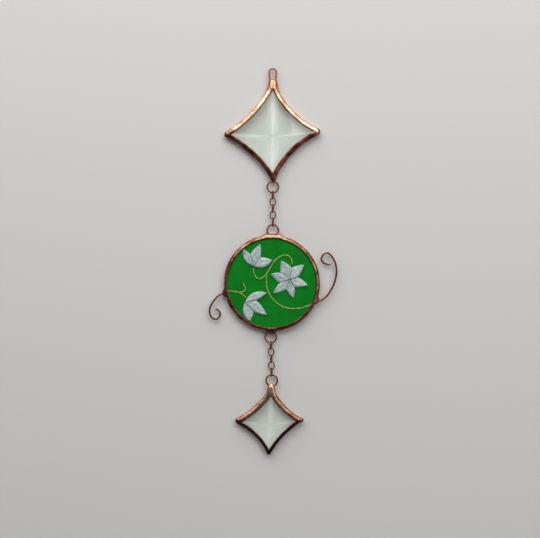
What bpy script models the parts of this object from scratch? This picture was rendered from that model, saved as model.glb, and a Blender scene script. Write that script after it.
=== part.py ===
"""A hanging suncatcher in copper foil and solder work.

Metres, +Z up, the front faces -Y. The origin is the inner top of the hanging loop, and everything
hangs down from there: a bevelled glass star, a chain, a round green panel with flowers, a second
chain and a small bevelled star. Flat work is laid out in the XZ plane as (x, z) pairs.
"""
import math

import bmesh
import bpy
from mathutils import Vector

MM = 0.001

# Joints between pieces, wire and solder
CLEARANCE = 0.10 * MM
FOIL = 0.10 * MM
BEAD_HEIGHT = 0.80 * MM
WIRE_SIDES = 6

# Hanging loop, a bent wire with pinched legs
LOOP_WIRE = 1.20 * MM
LOOP_WIDTH = 5.60 * MM
LOOP_WAIST = 5.00 * MM
LOOP_EYE_HEIGHT = 5.60 * MM
LOOP_LEG_LAP = 0.80 * MM
LOOP_LEG_SEAT = 0.30 * MM
LOOP_LEG_BOW = 0.25 * MM
LOOP_LEG_POINTS = 13
CROWN_STEPS = 10

# Each star has four sides, given in the order upper right, lower right, lower left, upper left.
# A sag is how far a side bows in, as a share of its length. The lap is the solder over the glass,
# the bead is the solder outside the glass. The shoulder is where the middle between the side
# tips lies from the middle between top and foot. A reach goes from the clear opening's tip to
# the end of the solder.
GLASS_BLUNT = 0.70 * MM

# Top star
STAR_WIDTH = 49.7 * MM
STAR_HEIGHT = 49.5 * MM
STAR_SHOULDER = (-0.35 * MM, -0.90 * MM)
STAR_CANT = 2.0
STAR_SAGS = (0.082, 0.077, 0.060, 0.060)
STAR_EDGE_GLASS = 2.20 * MM
STAR_BEVEL_RISE = 2.60 * MM
STAR_CROSS_DROP = 3.75 * MM
STAR_LAP = 1.50 * MM
STAR_BEADS = (1.50 * MM, 1.50 * MM, 1.50 * MM, 1.50 * MM)
STAR_NECK = 6.90 * MM
STAR_NECK_WIDTH = 3.60 * MM
STAR_FOOT = 6.00 * MM
STAR_FOOT_WIDTH = 4.40 * MM
STAR_TIP_REACH = 4.00 * MM
STAR_TIP_WIDTH = 3.80 * MM

# Small star
SMALL_WIDTH = 32.4 * MM
SMALL_HEIGHT = 32.0 * MM
SMALL_SHOULDER = (-0.70 * MM, 0.70 * MM)
SMALL_CANT = 1.2
SMALL_SAGS = (0.060, 0.050, 0.075, 0.055)
SMALL_EDGE_GLASS = 2.20 * MM
SMALL_BEVEL_RISE = 2.20 * MM
SMALL_CROSS_DROP = 1.50 * MM
SMALL_LAP = 1.00 * MM
SMALL_BEADS = (2.20 * MM, 1.20 * MM, 1.20 * MM, 2.40 * MM)
SMALL_NECK = 7.60 * MM
SMALL_NECK_WIDTH = 5.30 * MM
SMALL_RIGHT_REACH = 4.80 * MM
SMALL_LEFT_REACH = 3.80 * MM
SMALL_FOOT_REACH = 3.30 * MM
SMALL_TIP_WIDTH = 2.60 * MM

# How square the end of the solder is: 1 is round, 0 would be a square end
ROUND_END = 1.0
BLUNT_END = 0.6
FLAT_END = 0.4

# Round panel
DISC_OPENING = 53.0 * MM
DISC_GLASS = 3.00 * MM
DISC_LAP = 1.00 * MM
DISC_BEAD = 1.40 * MM
TOP_RING_SINK = 0.40 * MM
FOOT_RING_DROP = 0.15 * MM
RAMP_HEIGHT = 1.10 * MM
RAMP_SPREAD = 3.60 * MM
DROP_HEIGHT = 1.50 * MM
DROP_WIDTH = 7.40 * MM
RIM_STATIONS = 36
BUMP_STEPS = 3
RIM_LEAST_TURN = 1.5

# Rings and chain
RING_WIDTH = 7.70 * MM
RING_WIRE = 1.00 * MM
RING_STATIONS = 18
RING_FOOT_LAP = 1.00 * MM
RING_NECK_LAP = 1.60 * MM
LINK_WIRE = 0.72 * MM
LINK_INNER_LENGTH = 4.16 * MM
LINK_WIDTH = 4.10 * MM
LINK_COUNT = 5
LINK_STATIONS = 14
EDGE_ON_TURN = 78
FACE_ON_TURN = -8

# How each hanging piece leans, in degrees, its foot towards +X
DISC_LEAN = -1.1
LOWER_CHAIN_LEAN = 1.3
SMALL_LEAN = -2.3

# Curled wires on the rim: the angle where each is soldered, and its way from there
CURL_WIRE = 1.15 * MM
CURL_ROOT = 1.00 * MM
CURL_DROP_HEIGHT = 1.40 * MM
CURL_DROP_SPREAD = 3.40 * MM
RIGHT_CURL_ANGLE = -21.0
RIGHT_CURL_WAY = [
    (1.8, -0.2), (4.6, 1.4), (7.3, 4.3), (10.3, 9.8), (11.8, 16.3), (11.3, 21.8), (9.2, 26.2),
    (6.7, 28.4), (4.3, 27.8), (2.9, 25.7), (2.9, 24.2), (4.1, 22.6), (6.2, 21.7), (8.3, 21.4),
]
LEFT_CURL_ANGLE = 192.3
LEFT_CURL_WAY = [
    (-1.4, -0.3), (-3.7, -1.3), (-7.1, -5.2), (-9.0, -9.1), (-8.7, -13.0), (-6.5, -15.2),
    (-4.0, -15.0), (-2.8, -12.7), (-3.3, -10.7), (-5.3, -9.2),
]

# Flowers and vines lie on the green glass. Their points are shares of the clear radius.
PETAL_EDGE = 0.35 * MM
PETAL_HEIGHT = 0.80 * MM
PETAL_CROWN = 0.50
PETAL_BOW = 0.09
SIDE_PETAL_BOW = 0.22
VINE_WIDTH = 0.75 * MM
VINE_HEIGHT = 0.40 * MM
FLOWER_CENTRE = (0.414, 0.081)
FLOWER_TIPS = [
    (0.224, 0.509), (0.740, 0.421), (0.819, -0.048),
    (0.489, -0.319), (0.039, -0.242), (-0.009, 0.201),
]
FLOWER_VALLEYS = [
    (0.448, 0.373), (0.663, 0.120), (0.536, -0.134),
    (0.321, -0.134), (0.195, 0.011), (0.195, 0.247),
]
UPPER_BLOOM_BASE = (-0.410, 0.385)
UPPER_BLOOM_TIPS = [(-0.652, 0.768), (-0.256, 0.888), (0.016, 0.523)]
UPPER_BLOOM_VALLEYS = [(-0.486, 0.654), (-0.253, 0.586)]
LOWER_BLOOM_BASE = (-0.611, -0.434)
LOWER_BLOOM_TIPS = [(-0.109, -0.214), (-0.109, -0.719), (-0.493, -0.863)]
LOWER_BLOOM_VALLEYS = [(-0.351, -0.387), (-0.410, -0.640)]
VINES = {
    "vine_top": [
        (-0.415, 0.350), (-0.407, 0.262), (-0.369, 0.154), (-0.287, 0.100), (-0.210, 0.120),
        (-0.120, 0.210), (-0.029, 0.357), (0.050, 0.486), (0.140, 0.572), (0.242, 0.624),
        (0.344, 0.629), (0.419, 0.579), (0.457, 0.493), (0.459, 0.425),
    ],
    "vine_low": [
        (-0.122, 0.142), (-0.122, 0.052), (-0.109, -0.095), (-0.052, -0.253), (0.050, -0.389),
        (0.174, -0.491), (0.333, -0.559), (0.514, -0.577), (0.695, -0.554), (0.837, -0.507),
    ],
    "vine_left": [
        (-0.955, -0.180), (-0.889, -0.186), (-0.776, -0.204), (-0.708, -0.226),
        (-0.640, -0.276), (-0.588, -0.328),
    ],
    "tendril": [
        (-0.664, -0.196), (-0.622, -0.176), (-0.599, -0.130), (-0.606, -0.080), (-0.655, 0.010),
    ],
}


# Plane geometry

def turned(length, degrees):
    """A vector of this length at this angle from +X."""
    angle = math.radians(degrees)
    return Vector((length * math.cos(angle), length * math.sin(angle)))


def hang(point, drop, lean=0.0):
    """The point that lies this far below another, on a line that leans."""
    return point + turned(drop, lean - 90)


def smooth(points, steps):
    """Points along a Catmull-Rom curve through the given points, both ends included."""
    pts = [Vector(p) for p in points]
    ends = [2 * pts[0] - pts[1]] + pts + [2 * pts[-1] - pts[-2]]
    way = []
    for a, b, c, d in zip(ends, ends[1:], ends[2:], ends[3:]):
        for i in range(steps):
            t = i / steps
            way.append(0.5 * (2 * b + (c - a) * t + (2 * a - 5 * b + 4 * c - d) * t ** 2
                              + (3 * b - a - 3 * c + d) * t ** 3))
    return way + [pts[-1]]


def resample(points, shares):
    """The points at these shares of a line's length."""
    reach = [0.0]
    for a, b in zip(points, points[1:]):
        reach.append(reach[-1] + (b - a).length)
    picked = []
    for share in shares:
        at = share * reach[-1]
        i = max(k for k in range(len(points) - 1) if reach[k] <= at + 1e-12)
        span = reach[i + 1] - reach[i]
        picked.append(points[i].lerp(points[i + 1], (at - reach[i]) / span if span else 0.0))
    return picked


def across_ways(path, closed):
    """The unit vector to the left of the way at each point of a path."""
    count = len(path)
    ways = []
    for i in range(count):
        before = path[i - 1] if closed or i else path[i]
        after = path[(i + 1) % count] if closed or i + 1 < count else path[i]
        ways.append((after - before).normalized().orthogonal())
    return ways


def bowed(a, b, bow, steps):
    """Points from a to just before b on a line that bows to the left by a share of its length."""
    side = (b - a).orthogonal()
    return [a.lerp(b, i / steps) + side * 4 * bow * (i / steps) * (1 - i / steps)
            for i in range(steps)]


def inset(points, distance):
    """A closed outline drawn in by a distance, whichever way round it runs."""
    area = sum(a.cross(b) for a, b in zip(points, points[1:] + points[:1]))
    sign = 1 if area > 0 else -1
    drawn = []
    for before, here, after in zip(points[-1:] + points[:-1], points, points[1:] + points[:1]):
        n1 = (here - before).normalized().orthogonal()
        n2 = (after - here).normalized().orthogonal()
        drawn.append(here + sign * (n1 + n2) * distance / (1 + n1.dot(n2)))
    return drawn


# Mesh makers

def make_material(name, colour, metallic=0.0, roughness=0.4, transmission=0.0):
    material = bpy.data.materials.new(name)
    material.use_nodes = True
    shader = material.node_tree.nodes["Principled BSDF"]
    shader.inputs["Base Color"].default_value = (*colour, 1)
    shader.inputs["Metallic"].default_value = metallic
    shader.inputs["Roughness"].default_value = roughness
    shader.inputs["Transmission Weight"].default_value = transmission
    material.diffuse_color = (*colour, 1)
    return material


def make_mesh(name, verts, faces):
    """A mesh with its faces turned outwards and its round parts shaded smooth."""
    mesh = bpy.data.meshes.new(name)
    mesh.from_pydata([tuple(v) for v in verts], [], faces)
    bm = bmesh.new()
    bm.from_mesh(mesh)
    bmesh.ops.recalc_face_normals(bm, faces=bm.faces)
    bm.to_mesh(mesh)
    bm.free()
    mesh.shade_smooth()
    mesh.set_sharp_from_angle(angle=math.radians(40))
    return mesh


def add_object(name, mesh, material, place, turn=0.0):
    """An object at an (x, z) place, turned about the vertical."""
    obj = bpy.data.objects.new(name, mesh)
    if material:
        obj.data.materials.append(material)
    obj.location = (place.x, 0, place.y)
    obj.rotation_euler = (0, 0, math.radians(turn))
    bpy.context.scene.collection.objects.link(obj)
    return obj


def add_cutter(name, mesh, place):
    cutter = add_object(name, mesh, None, place)
    cutter.hide_render = True
    cutter.display_type = "WIRE"
    return cutter


def cut(obj, cutters):
    for cutter in cutters:
        boolean = obj.modifiers.new(cutter.name, "BOOLEAN")
        boolean.operation = "DIFFERENCE"
        boolean.solver = "EXACT"
        boolean.object = cutter


def skin(rows, closed):
    """Faces between rows of points of one length; an open skin gets a cap at each end."""
    count, width = len(rows), len(rows[0])
    faces = []
    for i in range(count if closed else count - 1):
        here, there = i * width, (i + 1) % count * width
        for j in range(width):
            k = (j + 1) % width
            faces.append((here + j, here + k, there + k, there + j))
    if not closed:
        faces += [tuple(range(width)), tuple(range((count - 1) * width, count * width))]
    return [v for row in rows for v in row], faces


def sweep_mesh(name, path, section, closed=False):
    """A section of (across, depth) pairs carried along a flat path."""
    rows = []
    for point, side in zip(path, across_ways(path, closed)):
        rows.append([(point.x + side.x * a, depth, point.y + side.y * a) for a, depth in section])
    return make_mesh(name, *skin(rows, closed))


def wire_section(radius):
    angles = [2 * math.pi * (j + 0.5) / WIRE_SIDES for j in range(WIRE_SIDES)]
    return [(radius * math.cos(a), radius * math.sin(a)) for a in angles]


def ring_path(radius, stations):
    return [turned(radius, 360 * i / stations) for i in range(stations)]


def link_path(stations):
    """The centre line of an oval link: two straight sides and two half rounds."""
    half_width = (LINK_WIDTH - LINK_WIRE) / 2
    straight = (LINK_INNER_LENGTH + LINK_WIRE) / 2 - half_width
    path = []
    for i in range(stations):
        point = turned(half_width, 360 * (i + 0.5) / stations)
        point.y += straight if point.y > 0 else -straight
        path.append(point)
    return path


# Frames of foil and solder round a sheet of glass

def frame_mesh(name, outer, groove, inner, half_glass, rise):
    """A bead with a groove for the glass, lofted between an outer and an inner outline.

    half_glass is half the glass at its edge and rise is how much more its front stands at the lip.
    """
    seat = half_glass + CLEARANCE
    crest = half_glass + BEAD_HEIGHT
    lip = seat + rise + FOIL
    back_lip = seat + FOIL
    rows = []
    for out, deep, near in zip(outer, groove, inner):
        def at(share, depth):
            point = out.lerp(near, share)
            return (point.x, depth, point.y)
        rows.append([
            at(0, 0), at(0.10, -0.65 * crest), at(0.36, -crest), at(0.76, -0.88 * crest),
            at(1, -lip), at(1, -seat - rise), (deep.x, -seat, deep.y),
            (deep.x, seat, deep.y), at(1, seat), at(1, back_lip),
            at(0.60, crest), at(0.14, 0.75 * crest),
        ])
    return make_mesh(name, *skin(rows, True))


class Star:
    """The outlines of a four-point star, laid out about its own middle."""

    SIDE_STEPS = 10
    FINE_STEPS = 60

    def __init__(self, width, height, shoulder, lean, cant, sags, lap, beads, cross_drop):
        self.lap = lap
        self.outer = [lap + bead for bead in beads]
        up = turned(1, 90 + lean)
        middle = Vector(shoulder)
        self.tips = [up * height / 2, middle + turned(width / 2, cant), -up * height / 2,
                     middle + turned(-width / 2, cant)]
        self.apex = -up * cross_drop
        self.arcs = []
        for a, b, share in zip(self.tips, self.tips[1:] + self.tips[:1], sags):
            chord = (b - a).length
            sag = share * chord
            radius = (chord ** 2 / 4 + sag ** 2) / (2 * sag)
            out = (b - a).normalized().orthogonal()
            self.arcs.append(((a + b) / 2 + out * (radius - sag), radius))

    def corner(self, index, offsets):
        """Where two sides meet when each is moved outwards by its own offset."""
        (c1, r1), (c2, r2) = self.arcs[index - 1], self.arcs[index]
        r1, r2 = r1 - offsets[index - 1], r2 - offsets[index]
        gap = c2 - c1
        along = (r1 ** 2 - r2 ** 2 + gap.length_squared) / (2 * gap.length)
        side = math.sqrt(r1 ** 2 - along ** 2)
        foot = c1 + gap.normalized() * along
        normal = gap.normalized().orthogonal()
        return min((foot + normal * side, foot - normal * side),
                   key=lambda p: (p - self.tips[index]).length)

    def side(self, index, offsets):
        """One side moved outwards, from its own corner to the next."""
        steps = self.FINE_STEPS
        centre, radius = self.arcs[index]
        start = self.corner(index, offsets) - centre
        end = self.corner((index + 1) % 4, offsets) - centre
        a0 = math.atan2(start.y, start.x)
        sweep = (math.atan2(end.y, end.x) - a0 + math.pi) % (2 * math.pi) - math.pi
        return [centre + turned(radius - offsets[index], math.degrees(a0 + sweep * i / steps))
                for i in range(steps + 1)]

    def point_at(self, index, offset, height):
        """Where one side, moved outwards, passes a height."""
        centre, radius = self.arcs[index]
        rise = height - centre.y
        along = math.sqrt((radius - offset) ** 2 - rise ** 2)
        return Vector((centre.x + math.copysign(along, -centre.x), height))

    def shares(self):
        """Stations along a side, closer together near its two ends."""
        steps = self.SIDE_STEPS
        return [i / steps - 0.10 * math.sin(2 * math.pi * i / steps) for i in range(steps)]

    def outline(self, offset, blunt=0.0):
        """All four sides moved outwards alike, with the point of each corner drawn back."""
        points = []
        for index, tip in enumerate(self.tips):
            line = resample(self.side(index, [offset] * 4), self.shares())
            points += [line[0] - tip.normalized() * blunt] + line[1:]
        return points

    def capped_outline(self, caps):
        """The outer edge of the solder. Each cap gives how far it reaches past the opening's tip,
        its width, and how square it is."""
        points = []
        cap_steps = 6
        for index in range(4):
            line = self.side(index, self.outer)
            for end in (index, (index + 1) % 4):
                reach, width, square = caps[end]
                half = width / 2
                tip = self.tips[end]
                out = (self.corner(end, self.outer) - tip).normalized()
                mine = [p for p in line if (p - tip).dot(out) > -2 * width]
                kept = [p for p in line if p not in mine or abs((p - tip).cross(out)) > half]
                first = kept[0] if end == index else kept[-1]
                base = (first - tip).dot(out)
                side = first - tip - out * base
                cap = []
                for step in range(cap_steps):
                    angle = math.pi / 2 * step / cap_steps
                    cap.append(tip + side * math.sin(angle) ** square
                               + out * (base + (reach - base) * math.cos(angle) ** square))
                line = cap + kept if end == index else kept + cap[::-1]
            points += resample(line, self.shares())
        return points

    def depths(self):
        """How far the meeting point of the facets lies from each side of the glass."""
        return [(self.apex - c).length - (r - self.lap) for c, r in self.arcs]

    def rise_at(self, point, rise):
        """How far the bevelled face stands above its edge at a point."""
        ratios = [((point - c).length - (r - self.lap)) / depth
                  for (c, r), depth in zip(self.arcs, self.depths())]
        return rise * max(0.0, min(ratios))


def star_glass_mesh(name, star, half_edge, rise):
    """Four shallow facets that meet in a cross, on a flat back."""
    rim = star.outline(star.lap, GLASS_BLUNT)
    count = len(rim)
    verts = [(star.apex.x, -half_edge - rise, star.apex.y)]
    for share in (0.36, 0.72, 1.0):
        for point in rim:
            here = star.apex.lerp(point, share)
            verts.append((here.x, -half_edge - star.rise_at(here, rise), here.y))
    verts += [(point.x, half_edge, point.y) for point in rim]
    faces = [(0, 1 + j, 1 + (j + 1) % count) for j in range(count)]
    for i in range(3):
        here, there = 1 + i * count, 1 + (i + 1) * count
        for j in range(count):
            k = (j + 1) % count
            faces.append((here + j, here + k, there + k, there + j))
    faces.append(tuple(range(1 + 3 * count, 1 + 4 * count)))
    return make_mesh(name, verts, faces)


def build_star(name, star, caps, middle, edge_glass, bevel_rise, cutters):
    """The foil and solder frame and the glass of one star."""
    half = edge_glass / 2
    lip_rise = bevel_rise * star.lap / min(star.depths())
    mesh = frame_mesh(
        name + "_frame", star.capped_outline(caps),
        star.outline(star.lap + CLEARANCE, GLASS_BLUNT), star.outline(0), half, lip_rise)
    frame = add_object(name + "_frame", mesh, COPPER, middle)
    cut(frame, cutters)
    glass = star_glass_mesh(name + "_glass", star, half, bevel_rise)
    add_object(name + "_glass", glass, CLEAR_GLASS, middle)


# Wire work

def add_ring(name, centre):
    """A round ring and the cutter for the channel it lies in."""
    path = ring_path((RING_WIDTH - RING_WIRE) / 2, RING_STATIONS)
    mesh = sweep_mesh(name, path, wire_section(RING_WIRE / 2), closed=True)
    add_object(name, mesh, WIRE_COPPER, centre)
    channel = sweep_mesh("cut_" + name, path, wire_section(RING_WIRE / 2 + CLEARANCE), closed=True)
    return add_cutter("cut_" + name, channel, centre)


def add_chain(name, ring_centre, lean):
    """Links from the foot of one ring to the top of the next; gives the next ring's centre."""
    ring_inside = RING_WIDTH / 2 - RING_WIRE
    mesh = sweep_mesh("oval_link", link_path(LINK_STATIONS), wire_section(LINK_WIRE / 2), closed=True)
    mesh.materials.append(WIRE_COPPER)
    pitch = LINK_INNER_LENGTH - CLEARANCE
    seat = hang(ring_centre, ring_inside - CLEARANCE, lean)
    for number in range(1, LINK_COUNT + 1):
        middle = hang(seat, (number - 1) * pitch + LINK_INNER_LENGTH / 2, lean)
        turn = EDGE_ON_TURN if number % 2 else FACE_ON_TURN
        link = add_object(f"{name}_{number}", mesh, None, middle, turn)
        link.rotation_euler.y = math.radians(-lean)
    chain_end = hang(seat, LINK_COUNT * pitch + CLEARANCE, lean)
    return hang(chain_end, ring_inside - CLEARANCE, lean)


def loop_leg(star, star_middle, side, sign):
    """From the eye through the waist to a foot that lies in the bead of the star's arm."""
    eye = (LOOP_WIDTH - LOOP_WIRE) / 2
    waist = (LOOP_WAIST - LOOP_WIRE) / 2
    tip = star.tips[0].y
    foot = star_middle + star.point_at(side, star.outer[side] - LOOP_LEG_SEAT, tip - LOOP_LEG_LAP)
    waist_point = Vector((sign * waist, -LOOP_EYE_HEIGHT))
    bend = waist_point.lerp(foot, 0.5) - Vector((sign * LOOP_LEG_BOW, 0))
    return smooth([Vector((sign * eye, LOOP_WIRE / 2 - eye)), waist_point, bend, foot], 4)


def hanging_loop_path(star, star_middle):
    """From the right leg's foot up over the eye and down the left leg."""
    eye = (LOOP_WIDTH - LOOP_WIRE) / 2
    centre = Vector((0, LOOP_WIRE / 2 - eye))
    crown = [turned(eye, 180 * i / CROWN_STEPS) + centre for i in range(1, CROWN_STEPS)]
    right = loop_leg(star, star_middle, 0, 1)
    return right[::-1] + crown + loop_leg(star, star_middle, 3, -1)


def add_curl(name, centre, angle, way):
    """A curled wire from inside the solder on the rim, and the cutter for its socket."""
    rim = turned(rim_radius(), angle)
    root = rim - turned(CURL_ROOT, angle)
    points = [root, rim] + [rim + Vector(p) * MM for p in way]
    path = smooth(points, 2)
    mesh = sweep_mesh(name, path, wire_section(CURL_WIRE / 2))
    add_object(name, mesh, WIRE_COPPER, centre)
    socket = [root - turned(CLEARANCE, angle)] + path[1:6]
    channel = sweep_mesh("cut_" + name, socket, wire_section(CURL_WIRE / 2 + CLEARANCE))
    return add_cutter("cut_" + name, channel, centre)


# Round panel

def rim_radius():
    return DISC_OPENING / 2 + DISC_LAP + DISC_BEAD


def solder_bumps():
    """Where solder stands out of the rim: angle, height, half of its flat top, half width."""
    axis = 90 + DISC_LEAN
    flank = math.degrees(RING_WIDTH / 2 / rim_radius())
    return [
        (axis - flank, RAMP_HEIGHT, 0.1 * RAMP_SPREAD, RAMP_SPREAD),
        (axis + flank, RAMP_HEIGHT, 0.1 * RAMP_SPREAD, RAMP_SPREAD),
        (axis + 180, DROP_HEIGHT, 0.25 * DROP_WIDTH, DROP_WIDTH / 2),
        (RIGHT_CURL_ANGLE, CURL_DROP_HEIGHT, 0.2 * CURL_DROP_SPREAD, CURL_DROP_SPREAD),
        (LEFT_CURL_ANGLE, CURL_DROP_HEIGHT, 0.2 * CURL_DROP_SPREAD, CURL_DROP_SPREAD),
    ]


def rim_outline(angles):
    """The outer edge of the solder round the panel."""
    outline = []
    for angle in angles:
        height = 0.0
        for middle, top, flat, spread in solder_bumps():
            turn = (angle - middle + 180) % 360 - 180
            away = abs(math.radians(turn)) * rim_radius()
            fall = min(1.0, max(0.0, (away - flat) / (spread - flat)))
            height = max(height, top * (1 - fall * fall * (3 - 2 * fall)))
        outline.append(turned(rim_radius() + height, angle))
    return outline


def rim_angles():
    """Even steps round the rim, with closer ones where solder stands out."""
    angles = {360 * i / RIM_STATIONS for i in range(RIM_STATIONS)}
    for middle, _, _, spread in solder_bumps():
        reach = math.degrees(spread / rim_radius())
        angles |= {(middle + reach * step / BUMP_STEPS) % 360
                   for step in range(-BUMP_STEPS, BUMP_STEPS + 1)}
    kept = []
    for angle in sorted(angles):
        if not kept or angle - kept[-1] > RIM_LEAST_TURN:
            kept.append(angle)
    return kept


def build_panel(centre, cutters):
    angles = rim_angles()
    clear = DISC_OPENING / 2
    groove = [turned(clear + DISC_LAP + CLEARANCE, a) for a in angles]
    inner = [turned(clear, a) for a in angles]
    mesh = frame_mesh("disc_frame", rim_outline(angles), groove, inner, DISC_GLASS / 2, 0.0)
    frame = add_object("disc_frame", mesh, COPPER, centre)
    cut(frame, cutters)
    half = DISC_GLASS / 2
    rim = [turned(clear + DISC_LAP, a) for a in angles]
    rows = [[(p.x, depth, p.y) for p in rim] for depth in (-half, half)]
    glass = make_mesh("green_disc_glass", *skin(rows, False))
    add_object("green_disc_glass", glass, GREEN_GLASS, centre)


def on_glass(share):
    """A point of the artwork, given as shares of the clear radius."""
    return Vector(share) * DISC_OPENING / 2


def glass_front():
    """How far forward the artwork starts."""
    return DISC_GLASS / 2 + CLEARANCE


def add_petal(name, centre, outline):
    """A pale petal with an upright edge and a raised crown, from its outline."""
    edge = inset(outline, CLEARANCE)
    middle = sum(edge, Vector((0, 0))) / len(edge)
    levels = [(glass_front(), 1.0), (glass_front() + PETAL_EDGE, 1.0),
              (glass_front() + PETAL_HEIGHT, PETAL_CROWN)]
    rows = []
    for depth, share in levels:
        row = [middle.lerp(p, share) for p in edge]
        rows.append([(p.x, -depth, p.y) for p in row])
    add_object(name, make_mesh(name, *skin(rows, False)), PALE_GLASS, centre)


def petal_side(base, valley, tip, steps=3):
    """Straight to the valley between two petals, then bowed out to the tip."""
    return [base] + bowed(valley, tip, PETAL_BOW, steps)


def flower_outlines():
    """Six petals round a middle, each between two valleys."""
    middle = on_glass(FLOWER_CENTRE)
    tips = [on_glass(p) for p in FLOWER_TIPS]
    valleys = [on_glass(p) for p in FLOWER_VALLEYS]
    outlines = []
    for i, tip in enumerate(tips):
        outline = petal_side(middle, valleys[i - 1], tip)
        outline += bowed(tip, valleys[i], PETAL_BOW, 3) + [valleys[i]]
        outlines.append(outline)
    return outlines


def bloom_outlines(base, tips, valleys):
    """Three petals of a half-open flower; the outer two have one long bowed side."""
    base = on_glass(base)
    first, second, third = (on_glass(p) for p in tips)
    left, right = (on_glass(p) for p in valleys)
    return [
        bowed(base, first, SIDE_PETAL_BOW, 5) + bowed(first, left, PETAL_BOW, 3) + [left],
        petal_side(base, left, second) + bowed(second, right, PETAL_BOW, 3) + [right],
        petal_side(base, right, third) + bowed(third, base, SIDE_PETAL_BOW, 5),
    ]


def build_artwork(centre):
    groups = {
        "flower_petal": flower_outlines(),
        "upper_bloom_petal": bloom_outlines(UPPER_BLOOM_BASE, UPPER_BLOOM_TIPS, UPPER_BLOOM_VALLEYS),
        "lower_bloom_petal": bloom_outlines(LOWER_BLOOM_BASE, LOWER_BLOOM_TIPS, LOWER_BLOOM_VALLEYS),
    }
    for name, outlines in groups.items():
        for number, outline in enumerate(outlines, 1):
            add_petal(f"{name}_{number}", centre, outline)
    front = -glass_front()
    half = VINE_WIDTH / 2
    section = [(half, front), (-half, front), (-0.7 * half, front - 0.7 * VINE_HEIGHT),
               (0, front - VINE_HEIGHT), (0.7 * half, front - 0.7 * VINE_HEIGHT)]
    for name, shares in VINES.items():
        path = smooth([on_glass(p) for p in shares], 2)
        add_object(name, sweep_mesh(name, path, section), VINE_GREEN, centre)


# Assembly, from the loop down

def build():
    origin = Vector((0, 0))
    star_middle = hang(origin, LOOP_EYE_HEIGHT + STAR_NECK + STAR_HEIGHT / 2)
    star = Star(STAR_WIDTH, STAR_HEIGHT, STAR_SHOULDER, 0, STAR_CANT, STAR_SAGS, STAR_LAP,
                STAR_BEADS, STAR_CROSS_DROP)
    loop_path = hanging_loop_path(star, star_middle)
    loop = sweep_mesh("hanging_loop", loop_path, wire_section(LOOP_WIRE / 2))
    add_object("hanging_loop", loop, WIRE_COPPER, origin)
    leg_cutters = []
    for side, leg in (("right", loop_path), ("left", loop_path[::-1])):
        way = [leg[0] + (leg[0] - leg[1]).normalized() * CLEARANCE] + leg[1:LOOP_LEG_POINTS]
        mesh = sweep_mesh(f"cut_{side}_leg", way, wire_section(LOOP_WIRE / 2 + CLEARANCE))
        leg_cutters.append(add_cutter(f"cut_{side}_leg", mesh, origin))

    ring_reach = (RING_WIDTH - RING_WIRE) / 2
    foot = hang(star_middle, STAR_HEIGHT / 2 + STAR_FOOT)
    star_ring = hang(foot, ring_reach - RING_FOOT_LAP)
    ring_cutter = add_ring("top_star_ring", star_ring)
    side_cap = (STAR_TIP_REACH, STAR_TIP_WIDTH, ROUND_END)
    caps = [(STAR_NECK, STAR_NECK_WIDTH, BLUNT_END), side_cap,
            (STAR_FOOT, STAR_FOOT_WIDTH, FLAT_END), side_cap]
    build_star("top_star", star, caps, star_middle, STAR_EDGE_GLASS, STAR_BEVEL_RISE,
               leg_cutters + [ring_cutter])

    disc_ring = add_chain("upper_chain_link", star_ring, 0)
    disc_middle = hang(disc_ring, ring_reach + rim_radius() - TOP_RING_SINK, DISC_LEAN)
    foot_ring = hang(disc_middle, ring_reach + rim_radius() + FOOT_RING_DROP, DISC_LEAN)
    cutters = [
        add_ring("disc_top_ring", disc_ring),
        add_ring("disc_bottom_ring", foot_ring),
        add_curl("right_curl", disc_middle, RIGHT_CURL_ANGLE, RIGHT_CURL_WAY),
        add_curl("left_curl", disc_middle, LEFT_CURL_ANGLE, LEFT_CURL_WAY),
    ]
    build_panel(disc_middle, cutters)
    build_artwork(disc_middle)

    small_ring = add_chain("lower_chain_link", foot_ring, LOWER_CHAIN_LEAN)
    neck_top = hang(small_ring, ring_reach - RING_NECK_LAP, SMALL_LEAN)
    small_middle = hang(neck_top, SMALL_NECK + SMALL_HEIGHT / 2, SMALL_LEAN)
    small = Star(SMALL_WIDTH, SMALL_HEIGHT, SMALL_SHOULDER, SMALL_LEAN, SMALL_CANT, SMALL_SAGS,
                 SMALL_LAP, SMALL_BEADS, SMALL_CROSS_DROP)
    caps = [(SMALL_NECK, SMALL_NECK_WIDTH, FLAT_END),
            (SMALL_RIGHT_REACH, SMALL_TIP_WIDTH, ROUND_END),
            (SMALL_FOOT_REACH, SMALL_TIP_WIDTH, ROUND_END),
            (SMALL_LEFT_REACH, SMALL_TIP_WIDTH, ROUND_END)]
    build_star("small_star", small, caps, small_middle, SMALL_EDGE_GLASS, SMALL_BEVEL_RISE,
               [add_ring("small_star_ring", small_ring)])


for old in list(bpy.data.objects):
    bpy.data.objects.remove(old, do_unlink=True)

COPPER = make_material("copper solder", (0.45, 0.20, 0.12), metallic=1.0, roughness=0.3)
WIRE_COPPER = make_material("copper wire", (0.36, 0.14, 0.09), metallic=1.0, roughness=0.35)
CLEAR_GLASS = make_material("clear glass", (0.90, 0.96, 0.92), roughness=0.02, transmission=1.0)
GREEN_GLASS = make_material("green glass", (0.01, 0.17, 0.02), roughness=0.15)
PALE_GLASS = make_material("pale petals", (0.33, 0.38, 0.36), roughness=0.5)
VINE_GREEN = make_material("vine green", (0.35, 0.45, 0.08), roughness=0.5)

build()
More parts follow.
